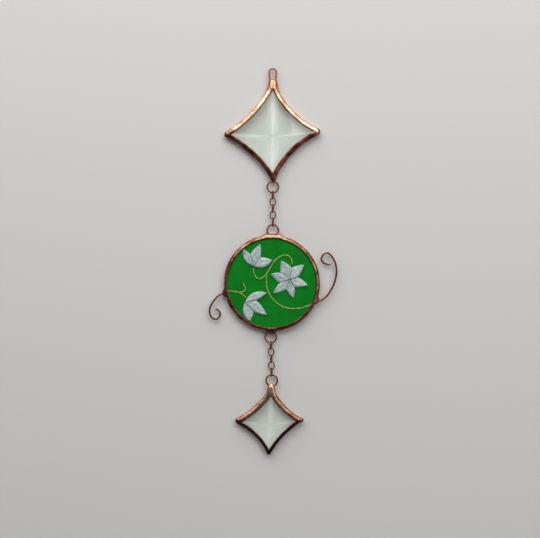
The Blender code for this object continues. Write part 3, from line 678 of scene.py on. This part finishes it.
class Star:
    """The outlines of one star about the middle between its top and foot."""

    FINE_STEPS = 240

    def __init__(self, name):
        facts = STARS[name]
        width, height = (v * MM for v in facts["size"])
        up = turned(1, 90 + facts["lean"])
        shoulder = Vector(facts["shoulder"]) * MM
        across = turned(width / 2, facts["cant"])
        self.name = name
        self.tips = [up * height / 2, shoulder + across, -up * height / 2, shoulder - across]
        self.apex = -up * facts["cross_drop"] * MM
        self.lap = facts["lap"] * MM
        self.outer = [self.lap + bead * MM for bead in facts["beads"]]
        self.half_glass = facts["edge_glass"] * MM / 2
        self.rise = facts["rise"] * MM
        self.caps = [(reach * MM, wide * MM, square) for reach, wide, square in facts["caps"]]
        self.arcs = []
        for a, b, share in zip(self.tips, self.tips[1:] + self.tips[:1], facts["sags"]):
            chord = (b - a).length
            sag = share * chord
            radius = (chord ** 2 / 4 + sag ** 2) / (2 * sag)
            out = (b - a).normalized().orthogonal()
            self.arcs.append(((a + b) / 2 + out * (radius - sag), radius))
        rim = self.outline(self.lap, 40, GLASS_BLUNT)
        low = Vector((min(p.x for p in rim), min(p.y for p in rim)))
        high = Vector((max(p.x for p in rim), max(p.y for p in rim)))
        self.place = box_centre(name + "_glass") - in_space((low + high) / 2)
        self.place.y = 0.0

    def corner(self, index, offsets):
        """Where two sides meet when each is moved outwards by its own offset."""
        (c1, r1), (c2, r2) = self.arcs[index - 1], self.arcs[index]
        r1, r2 = r1 - offsets[index - 1], r2 - offsets[index]
        gap = c2 - c1
        along = (r1 ** 2 - r2 ** 2 + gap.length_squared) / (2 * gap.length)
        side = math.sqrt(r1 ** 2 - along ** 2)
        foot = c1 + gap.normalized() * along
        normal = gap.normalized().orthogonal()
        return min((foot + normal * side, foot - normal * side),
                   key=lambda p: (p - self.tips[index]).length)

    def side(self, index, offsets):
        """One side moved outwards, from its own corner to the next."""
        centre, radius = self.arcs[index]
        start = self.corner(index, offsets) - centre
        end = self.corner((index + 1) % 4, offsets) - centre
        first = math.atan2(start.y, start.x)
        sweep = (math.atan2(end.y, end.x) - first + math.pi) % (2 * math.pi) - math.pi
        return [centre + turned(radius - offsets[index],
                                math.degrees(first + sweep * i / self.FINE_STEPS))
                for i in range(self.FINE_STEPS + 1)]

    def outline(self, offset, steps, blunt=0.0):
        """The four sides moved outwards alike; blunt rounds each corner back by a distance."""
        points = []
        for index in range(4):
            line = self.side(index, [offset] * 4)
            points += resample(line, even_shares(steps))
        if blunt:
            points = [self.blunted(p, offset, blunt) for p in points]
        return points

    def blunted(self, point, offset, blunt):
        """A point near a corner pulled back on to a flat that lies blunt inside the corner."""
        for index, tip in enumerate(self.tips):
            out = tip.normalized()
            limit = (self.corner(index, [offset] * 4) - tip).dot(out) - blunt
            over = (point - tip).dot(out) - limit
            if over > 0:
                return point - out * over
        return point

    def solder_outline(self, steps):
        """The outer edge of the solder, with a rounded cap at each corner."""
        points = []
        for index in range(4):
            line = self.side(index, self.outer)
            for end in (index, (index + 1) % 4):
                reach, width, square = self.caps[end]
                tip = self.tips[end]
                out = (self.corner(end, self.outer) - tip).normalized()
                mine = [p for p in line if (p - tip).dot(out) > -2 * width]
                kept = [p for p in line if p not in mine or abs((p - tip).cross(out)) > width / 2]
                first = kept[0] if end == index else kept[-1]
                base = (first - tip).dot(out)
                side = first - tip - out * base
                cap = []
                for step in range(24):
                    angle = math.pi / 2 * step / 24
                    cap.append(tip + side * math.sin(angle) ** square
                               + out * (base + (reach - base) * math.cos(angle) ** square))
                line = cap + kept if end == index else kept + cap[::-1]
            points += resample(line, even_shares(steps))
        return points

    def depths(self):
        """How far the meeting point of the facets lies from each side of the glass."""
        return [(self.apex - c).length - (r - self.lap) for c, r in self.arcs]

    def rise_at(self, point):
        """How far the bevelled face stands above its edge at a point."""
        shares = [((point - c).length - (r - self.lap)) / depth
                  for (c, r), depth in zip(self.arcs, self.depths())]
        return self.rise * max(0.0, min(shares))


TOP_STAR = Star("top_star")
SMALL_STAR = Star("small_star")
print("star middles", [[round(c / MM, 2) for c in star.place] for star in (TOP_STAR, SMALL_STAR)])

# %% [markdown]
# ## Solder beads
# Molten solder draws itself into a rounded bead between the outer edge and the lip on the glass.
# It could be sculpted, but a section lofted round the work is set by numbers: a smooth curve over
# the front, the groove that holds the glass, and a smooth curve over the back. Hand soldering is
# never even, so each point moves a little along its normal with a noise of about 3 mm, and the
# outline wanders with it. The crest lies near the glass, so most of the width slopes outwards: it
# mirrors the window on the upper arms and the dark room on the lower ones.
# %% Solder beads
WANDER = 0.12 * MM
RIPPLE = 0.06 * MM
RIPPLE_SIZE = 3.0 * MM


def smooth(points, steps):
    """Points along a Catmull-Rom curve through the given points, both ends included."""
    pts = [Vector(p) for p in points]
    ends = [2 * pts[0] - pts[1]] + pts + [2 * pts[-1] - pts[-2]]
    way = []
    for a, b, c, d in zip(ends, ends[1:], ends[2:], ends[3:]):
        for i in range(steps):
            t = i / steps
            way.append(0.5 * (2 * b + (c - a) * t + (2 * a - 5 * b + 4 * c - d) * t ** 2
                              + (3 * b - a - 3 * c + d) * t ** 3))
    return way + [pts[-1]]


def bead_section(half_glass, lip_rise):
    """(share from outer edge to lip, depth, is it groove) round one bead."""
    seat = half_glass + CLEARANCE
    crest = half_glass + SOLDER_CROWN
    lip = seat + lip_rise + CLEARANCE
    front = smooth([(0, 0), (0.01, -0.24 * crest), (0.08, -0.48 * crest), (0.24, -0.74 * crest),
                    (0.46, -0.90 * crest), (0.74, -crest), (0.92, -0.97 * crest), (1, -lip)], 3)
    back = smooth([(1, seat + CLEARANCE), (0.85, 0.86 * crest), (0.5, crest), (0.2, 0.86 * crest),
                   (0.04, 0.42 * crest), (0, 0)], 3)[:-1]
    section = [(p.x, p.y, False) for p in front]
    section += [(1, -seat - lip_rise, True), ("groove", -seat, True), ("groove", seat, True),
                (1, seat, True)]
    return section + [(p.x, p.y, False) for p in back]


def bead_mesh(name, place, outer, groove, inner, half_glass, lip_rise, light_and_bare):
    """Lofts the section round the work; light_and_bare says how bright the solder is at a point of
    the plane: free of patina, or painted light and shade.
    """
    section = bead_section(half_glass, lip_rise)
    bm = bmesh.new()
    light_and_bareness = bm.verts.layers.float.new("light_and_bare")
    rows, loose = [], []
    for out, deep, near in zip(outer, groove, inner):
        drift = noise.noise(in_space(out) / (1.6 * RIPPLE_SIZE)) * WANDER
        edge = out + (out - near).normalized() * drift
        row = []
        for share, depth, held in section:
            flat = deep if share == "groove" else edge.lerp(near, share)
            vert = bm.verts.new(place + in_space(flat, depth))
            vert[light_and_bareness] = light_and_bare(near) * (1 if held else min(1.0, 1.6 - share))
            row.append(vert)
            if not held:
                loose.append(vert)
        rows.append(row)
    loft(bm, rows + rows[:1])
    bmesh.ops.recalc_face_normals(bm, faces=bm.faces)
    bm.normal_update()
    moves = [(v, v.normal * RIPPLE * noise.noise(v.co / RIPPLE_SIZE)) for v in loose]
    for vert, move in moves:
        vert.co += move
    return mesh_from(bm, name)


def star_bead(star, steps, upper, lower, neck):
    """A star's bead; the three shares say how bright its upper arms, lower arms and neck are, the
    arms' shares being painted light and shade.
    """
    lip_rise = star.rise * star.lap / min(star.depths())
    top = star.tips[0].y

    def light_and_bare(flat):
        # Upper half brighter and lower half darker: painted light and shade from the window above.
        rise = min(1.0, max(0.0, flat.y / (3 * MM) + 0.5))
        near_neck = min(1.0, max(0.0, 1 - (top - flat.y) / (3 * MM)))
        return lower + (upper - lower) * rise + (neck - upper) * near_neck * rise

    mesh = bead_mesh(star.name + "_bead", star.place, star.solder_outline(steps),
                     star.outline(star.lap + CLEARANCE, steps, GLASS_BLUNT),
                     star.outline(0, steps), star.half_glass, lip_rise, light_and_bare)
    finish_piece(star.name + "_bead", mesh, SOLDER, [star.name + "_frame"])


# Upper arms take a painted highlight and lower arms painted shade; the small star's lower arms go
# near black, a painted dark reflection.
star_bead(TOP_STAR, steps=110, upper=0.90, lower=0.12, neck=0.66)
star_bead(SMALL_STAR, steps=80, upper=0.34, lower=-0.75, neck=0.90)

# %% [markdown]
# ## Round panel frame
# The same bead runs round the green glass. Solder stands out of its rim in a ramp that fills up
# under the top ring and climbs its sides, in a drop at the foot ring, and where each curled wire
# is held.
# %% Round panel frame
DISC_BEAD = 1.40 * MM
DISC_LEAN = -1.1
RAMP_HEIGHT = 1.10 * MM
RAMP_SPREAD = 3.60 * MM
DROP_HEIGHT = 1.50 * MM
DROP_WIDTH = 7.40 * MM
CURL_DROP_HEIGHT = 1.40 * MM
CURL_DROP_SPREAD = 3.40 * MM
RIGHT_CURL_ANGLE = -21.0
LEFT_CURL_ANGLE = 192.3
RIM_RADIUS = GLASS_RADIUS + DISC_BEAD
RIM_STEPS = 420


def rim_height(angle):
    """How far solder stands out of the even rim at an angle."""
    axis = 90 + DISC_LEAN
    flank = math.degrees(RING_WIDTH / 2 / RIM_RADIUS)
    bumps = [
        (axis, 0.6 * RAMP_HEIGHT, RING_WIDTH / 2, RING_WIDTH / 2 + RAMP_SPREAD),
        (axis - flank, RAMP_HEIGHT, 0.1 * RAMP_SPREAD, RAMP_SPREAD),
        (axis + flank, RAMP_HEIGHT, 0.1 * RAMP_SPREAD, RAMP_SPREAD),
        (axis + 180, DROP_HEIGHT, 0.25 * DROP_WIDTH, DROP_WIDTH / 2),
        (RIGHT_CURL_ANGLE, CURL_DROP_HEIGHT, 0.2 * CURL_DROP_SPREAD, CURL_DROP_SPREAD),
        (LEFT_CURL_ANGLE, CURL_DROP_HEIGHT, 0.2 * CURL_DROP_SPREAD, CURL_DROP_SPREAD),
    ]
    height = 0.0
    for middle, top, flat, spread in bumps:
        turn = (angle - middle + 180) % 360 - 180
        away = abs(math.radians(turn)) * RIM_RADIUS
        fall = min(1.0, max(0.0, (away - flat) / (spread - flat)))
        height = max(height, top * (1 - fall * fall * (3 - 2 * fall)))
    return height


def disc_brightness(flat):
    """Brown all round, bright in the ramp under the top ring."""
    away = (flat.normalized() - turned(1, 90 + DISC_LEAN)).length * RIM_RADIUS
    return 0.12 + 0.20 * min(1.0, max(0.0, 2.2 - away / (RING_WIDTH / 2)))


angles = [360 * i / RIM_STEPS for i in range(RIM_STEPS)]
disc_mesh = bead_mesh(
    "disc_bead", DISC_CENTRE, [turned(RIM_RADIUS + rim_height(a), a) for a in angles],
    [turned(GLASS_RADIUS + CLEARANCE, a) for a in angles],
    [turned(CLEAR_RADIUS, a) for a in angles], -DISC_FRONT, 0.0, disc_brightness)
finish_piece("disc_bead", disc_mesh, SOLDER, ["disc_frame"])

# %% [markdown]
# ## Bevelled star glass
# The glass is a low pyramid: four facets, each as wide as its side is far from the crossing, so
# that they meet in sharp ridges, a cross seen from the front. The mesh runs in rows from the
# crossing to the rim. In each row the columns next to a ridge keep their distance from it in
# millimetres, which gives two strips of even width along it for the paler ridge glass. Cutting a
# slab by planes would be shorter, but would leave no strips.
# %% Bevelled star glass
RIDGE_ROWS = (0.06, 0.14, 0.25, 0.40, 0.55, 0.70, 0.85, 1.0)
FACET_COLUMNS = 16
RIDGE_STRIPS = {
    "top_star": ((2.4 * MM, 6.6 * MM), (0.9 * MM, 1.9 * MM)),
    "small_star": ((1.2 * MM, 3.4 * MM), (0.7 * MM, 1.5 * MM)),
}
RIDGE_CREASE = 6


def facet_columns(length, start, end):
    """Shares of a row's length for its columns, with the strips at both ends kept in width."""
    fit = min(1.0, 0.6 * length / (start[1] + end[1]))
    first = [0.0, fit * start[0] / length, fit * start[1] / length]
    last = [1 - fit * end[1] / length, 1 - fit * end[0] / length, 1.0]
    gap = last[0] - first[2]
    return first + [first[2] + gap * i / FACET_COLUMNS for i in range(1, FACET_COLUMNS)] + last


def star_glass(star, steps):
    rim = star.outline(star.lap, steps, GLASS_BLUNT)
    half = star.half_glass
    upright, level = RIDGE_STRIPS[star.name]
    bm = bmesh.new()
    for index in range(4):
        line = (rim + rim)[index * steps:(index + 1) * steps + 1]
        length = sum((b - a).length for a, b in zip(line, line[1:]))
        strips = (upright, level) if index % 2 == 0 else (level, upright)
        rows = [[bm.verts.new(star.place + in_space(star.apex, -half - star.rise))]]
        for share in RIDGE_ROWS:
            columns = facet_columns(length * share, *strips)
            flats = [star.apex.lerp(point, share) for point in resample(line, columns)]
            rows.append([bm.verts.new(star.place + in_space(f, -half - star.rise_at(f)))
                         for f in flats])
        rows.append([bm.verts.new(star.place + in_space(f, half)) for f in flats])
        faces = loft(bm, [row[::-1] for row in rows], wrap=False)
        count = len(flats) - 1
        glass_of = {0: 2, 1: 1, count - 2: 1, count - 1: 2}
        for number, face in enumerate(faces[:-count]):
            face.material_index = glass_of.get(number % count, 0)
    bmesh.ops.remove_doubles(bm, verts=bm.verts, dist=MERGE_REACH)
    bmesh.ops.holes_fill(bm, edges=[e for e in bm.edges if e.is_boundary])
    print(star.name, "open edges:", sum(not e.is_manifold for e in bm.edges))
    mesh = mesh_from(bm, star.name + "_bevel", RIDGE_CREASE)
    for material in (CLEAR_GLASS, RIDGE_EDGE, RIDGE_CREST):
        mesh.materials.append(material)
    finish_piece(star.name + "_bevel", mesh, CLEAR_GLASS, [star.name + "_glass"])


star_glass(TOP_STAR, steps=40)
star_glass(SMALL_STAR, steps=30)

# %% [markdown]
# ## Hanging loop and curls
# The loop is one wire bent over a former and pinched to a waist, its two legs ending in the
# solder of the star's arms. The two curls start in the solder of the rim and end in a scroll.
# Their ways are points read from the work, smoothed into one line, because no simple arc or spiral
# fits wire that was bent by eye.
# %% Hanging loop and curls
LOOP_WIRE = 1.20 * MM
LOOP_WIDTH = 5.60 * MM
LOOP_WAIST = 5.00 * MM
LOOP_EYE_HEIGHT = 5.60 * MM
LOOP_LEG_LAP = 0.80 * MM
LOOP_LEG_SEAT = 0.30 * MM
LOOP_LEG_BOW = 0.25 * MM
CROWN_STEP = 6
CURL_WIRE = 1.15 * MM
CURL_ROOT = 1.00 * MM
CURL_WAYS = {
    "right_curl": (RIGHT_CURL_ANGLE, [
        (1.8, -0.2), (4.6, 1.4), (7.3, 4.3), (10.3, 9.8), (11.8, 16.3), (11.3, 21.8), (9.2, 26.2),
        (6.7, 28.4), (4.3, 27.8), (2.9, 25.7), (2.9, 24.2), (4.1, 22.6), (6.2, 21.7), (8.3, 21.4)]),
    "left_curl": (LEFT_CURL_ANGLE, [
        (-1.4, -0.3), (-3.7, -1.3), (-7.1, -5.2), (-9.0, -9.1), (-8.7, -13.0), (-6.5, -15.2),
        (-4.0, -15.0), (-2.8, -12.7), (-3.3, -10.7), (-5.3, -9.2)]),
}


def loop_leg(index, sign):
    """From the eye through the waist to a foot in the bead of the star's arm."""
    eye = (LOOP_WIDTH - LOOP_WIRE) / 2
    waist = Vector((sign * (LOOP_WAIST - LOOP_WIRE) / 2, -LOOP_EYE_HEIGHT))
    centre, radius = TOP_STAR.arcs[index]
    height = TOP_STAR.tips[0].y - LOOP_LEG_LAP
    reach = radius - TOP_STAR.outer[index] + LOOP_LEG_SEAT
    run = math.sqrt(reach ** 2 - (height - centre.y) ** 2)
    foot = Vector((centre.x + math.copysign(run, -centre.x), height + TOP_STAR.place.z))
    bend = waist.lerp(foot, 0.5) - Vector((sign * LOOP_LEG_BOW, 0))
    return smooth([Vector((sign * eye, LOOP_WIRE / 2 - eye)), waist, bend, foot], 12)


eye = (LOOP_WIDTH - LOOP_WIRE) / 2
crown = [turned(eye, angle) + Vector((0, LOOP_WIRE / 2 - eye))
         for angle in range(CROWN_STEP, 180, CROWN_STEP)]
loop_path = [in_space(p) for p in loop_leg(0, 1)[::-1] + crown + loop_leg(3, -1)]
loop_mesh = wire_mesh("hanging_loop_wire", loop_path, False, LOOP_WIRE / 2, LOOP_COPPER)
finish_piece("hanging_loop_wire", loop_mesh, LOOP_COPPER, ["hanging_loop"])

for node, (angle, way) in CURL_WAYS.items():
    rim = turned(RIM_RADIUS, angle)
    points = [rim - turned(CURL_ROOT, angle), rim] + [rim + Vector(p) * MM for p in way]
    path = [DISC_CENTRE + in_space(p) for p in smooth(points, 10)]
    mesh = wire_mesh(node + "_wire", path, False, CURL_WIRE / 2, WIRE_COPPER, 0.10 * MM)
    finish_piece(node + "_wire", mesh, WIRE_COPPER, [node])

# %% [markdown]
# ## Petals
# Each petal is a leaf of glass about 1 mm thick with rounded edges and a shallow valley down
# its middle. One side stands higher than the other, so that each petal of the flower shades the
# next. Its outline is two bowed sides between a foot and a tip. The mesh is a grid: rows go from
# foot to tip, columns from side to side, so the veins simply follow the columns, and the same two
# numbers become the UV map that the petal material reads.
# %% Petals
PETAL_HEIGHT = 1.15 * MM
PETAL_TILT = 0.25
PETAL_GAP = 0.05 * MM
PETAL_BOW = 0.055
SIDE_PETAL_BOW = 0.22
PETAL_ROWS = 40
PETAL_COLUMNS = 24
PETAL_CREASE = 60
VEIN_DEPTH = 0.05 * MM
FLOWER_CENTRE = (0.414, 0.081)
FLOWER_TIPS = [
    (0.216, 0.513), (0.730, 0.419), (0.819, -0.048),
    (0.491, -0.343), (0.024, -0.238), (-0.024, 0.208),
]
FLOWER_VALLEYS = [
    (0.450, 0.347), (0.590, 0.132), (0.512, -0.090),
    (0.323, -0.138), (0.174, 0.000), (0.200, 0.236),
]
BLOOMS = {
    "upper_bloom_petal": ((-0.410, 0.385), [(-0.652, 0.768), (-0.256, 0.888), (0.016, 0.523)],
                          [(-0.486, 0.654), (-0.253, 0.586)]),
    "lower_bloom_petal": ((-0.611, -0.434), [(-0.109, -0.214), (-0.109, -0.719),
                                             (-0.493, -0.863)],
                          [(-0.351, -0.387), (-0.410, -0.640)]),
}


def on_glass(share):
    """A point of the artwork, given as shares of the clear radius."""
    return Vector(share) * CLEAR_RADIUS


def bowed(a, b, bow, steps=30):
    """Points from a to b on a line that bows to the left by a share of its length."""
    side = (b - a).orthogonal()
    return [a.lerp(b, i / steps) + side * 4 * bow * (i / steps) * (1 - i / steps)
            for i in range(steps + 1)]


def petal_height(along, across):
    """Height of a petal's face, as two shares: foot to tip, and side to side."""
    round_off = (1 - abs(2 * across - 1) ** 3.5) ** 0.5
    ends = min(1.0, 5 * along + 0.55, 9 * (1 - along) + 0.30)
    lifted = 1 + PETAL_TILT * (2 * across - 1)
    valley = 1 - 0.16 * math.exp(-((across - 0.5) / 0.10) ** 2)
    groove = VEIN_DEPTH * math.cos(2 * math.pi * VEINS_ACROSS * across)
    return max(0.0, (PETAL_HEIGHT * ends * valley * lifted - groove) * round_off)


def petal_mesh(name, left, right):
    """A petal between two lines that both run from its foot to its tip."""
    shares = even_shares(PETAL_ROWS) + [1.0]
    left, right = resample(left, shares), resample(right, shares)
    base = DISC_FRONT - CLEARANCE
    bm = bmesh.new()
    layer = bm.loops.layers.uv.new("petal")
    places = {}

    def point(flat, depth, along, across):
        vert = bm.verts.new(DISC_CENTRE + in_space(flat, depth))
        places[vert] = (along, across)
        return vert

    rows = [[point(left[0], base, 0, 0.5)]]
    for along, a, b in list(zip(shares, left, right))[1:-1]:
        trim = min(0.45, PETAL_GAP / (b - a).length)
        row = []
        for j in range(PETAL_COLUMNS + 1):
            across = j / PETAL_COLUMNS
            flat = a.lerp(b, trim + (1 - 2 * trim) * across)
            row.append(point(flat, base - petal_height(along, across), along, across))
        rows.append(row)
    rows.append([point(left[-1], base, 1, 0.5)])
    for face in loft(bm, rows, wrap=False):
        for loop in face.loops:
            loop[layer].uv = places[loop.vert]
    bm.faces.new([row[0] for row in rows] + [row[-1] for row in rows[-2:0:-1]])
    return mesh_from(bm, name, PETAL_CREASE)


def add_petal(node, left, right):
    mesh = petal_mesh(node + "_relief", left, right)
    finish_piece(node + "_relief", mesh, PALE_PETAL, [node])


middle = on_glass(FLOWER_CENTRE)
valleys = [on_glass(p) for p in FLOWER_VALLEYS]
for number, share in enumerate(FLOWER_TIPS):
    tip = on_glass(share)
    near, far = valleys[number - 1], valleys[number]
    left = [middle] + bowed(near, tip, PETAL_BOW)
    right = [middle] + bowed(tip, far, PETAL_BOW)[::-1]
    add_petal(f"flower_petal_{number + 1}", left, right)

for group, (foot, tips, gaps) in BLOOMS.items():
    foot = on_glass(foot)
    first, second, third = (on_glass(p) for p in tips)
    near, far = (on_glass(p) for p in gaps)
    add_petal(group + "_1", bowed(foot, first, SIDE_PETAL_BOW),
              [foot] + bowed(first, near, PETAL_BOW)[::-1])
    add_petal(group + "_2", [foot] + bowed(near, second, PETAL_BOW),
              [foot] + bowed(second, far, PETAL_BOW)[::-1])
    add_petal(group + "_3", [foot] + bowed(far, third, PETAL_BOW),
              bowed(third, foot, SIDE_PETAL_BOW)[::-1])

# %% [markdown]
# ## Vines
# A line of enamel squeezed from a fine tip stands up like a half-round thread and sinks away at
# both ends. A bevelled curve would be round below as well, so a half-round section is carried
# along a smooth path, with its height and width tapered over the last few millimetres.
# %% Vines
VINE_WIDTH = 0.75 * MM
VINE_HEIGHT = 0.40 * MM
VINE_SIDES = 10
VINE_CREASE = 50
VINES = {
    "vine_top": [
        (-0.415, 0.350), (-0.407, 0.262), (-0.369, 0.154), (-0.287, 0.100), (-0.210, 0.120),
        (-0.120, 0.210), (-0.029, 0.357), (0.050, 0.486), (0.140, 0.572), (0.242, 0.624),
        (0.344, 0.629), (0.419, 0.579), (0.457, 0.493), (0.459, 0.425)],
    "vine_low": [
        (-0.112, 0.205), (-0.122, 0.142), (-0.122, 0.052), (-0.109, -0.095), (-0.052, -0.253),
        (0.050, -0.389), (0.174, -0.491), (0.333, -0.559), (0.514, -0.577), (0.695, -0.554),
        (0.837, -0.507), (0.872, -0.488)],
    "vine_left": [
        (-0.984, -0.176), (-0.955, -0.180), (-0.889, -0.186), (-0.776, -0.204), (-0.708, -0.226),
        (-0.640, -0.276), (-0.588, -0.328)],
    "tendril": [
        (-0.725, -0.216), (-0.664, -0.196), (-0.622, -0.176), (-0.599, -0.130), (-0.606, -0.080),
        (-0.655, 0.010)],
}


def vine_mesh(name, shares):
    path = smooth([on_glass(p) for p in shares], 8)
    bm = bmesh.new()
    rows = []
    for i, point in enumerate(path):
        before, after = path[max(0, i - 1)], path[min(len(path) - 1, i + 1)]
        side = (after - before).normalized().orthogonal()
        end = min(i, len(path) - 1 - i)
        full = min(1.0, 0.70 + 0.1 * end)
        full *= 1 + 0.12 * noise.noise(in_space(point) / (1.5 * MM))
        row = []
        for j in range(VINE_SIDES + 1):
            angle = math.pi * j / VINE_SIDES
            flat = point + side * math.cos(angle) * VINE_WIDTH / 2 * full
            depth = DISC_FRONT - CLEARANCE - math.sin(angle) * VINE_HEIGHT * full
            row.append(bm.verts.new(DISC_CENTRE + in_space(flat, depth)))
        rows.append(row)
    loft(bm, rows)
    bm.faces.new(rows[0])
    bm.faces.new(rows[-1])
    return mesh_from(bm, name, VINE_CREASE)


for node, shares in VINES.items():
    mesh = vine_mesh(node + "_line", shares)
    finish_piece(node + "_line", mesh, VINE_ENAMEL, [node])

# %% [markdown]
# ## Green panel glass
# The CAD's disc is already right, a flat sheet whose edge hides under the solder, so it keeps its
# shape and takes the green glass.
# %% Green panel glass
dress_node("green_disc_glass", GREEN_GLASS)
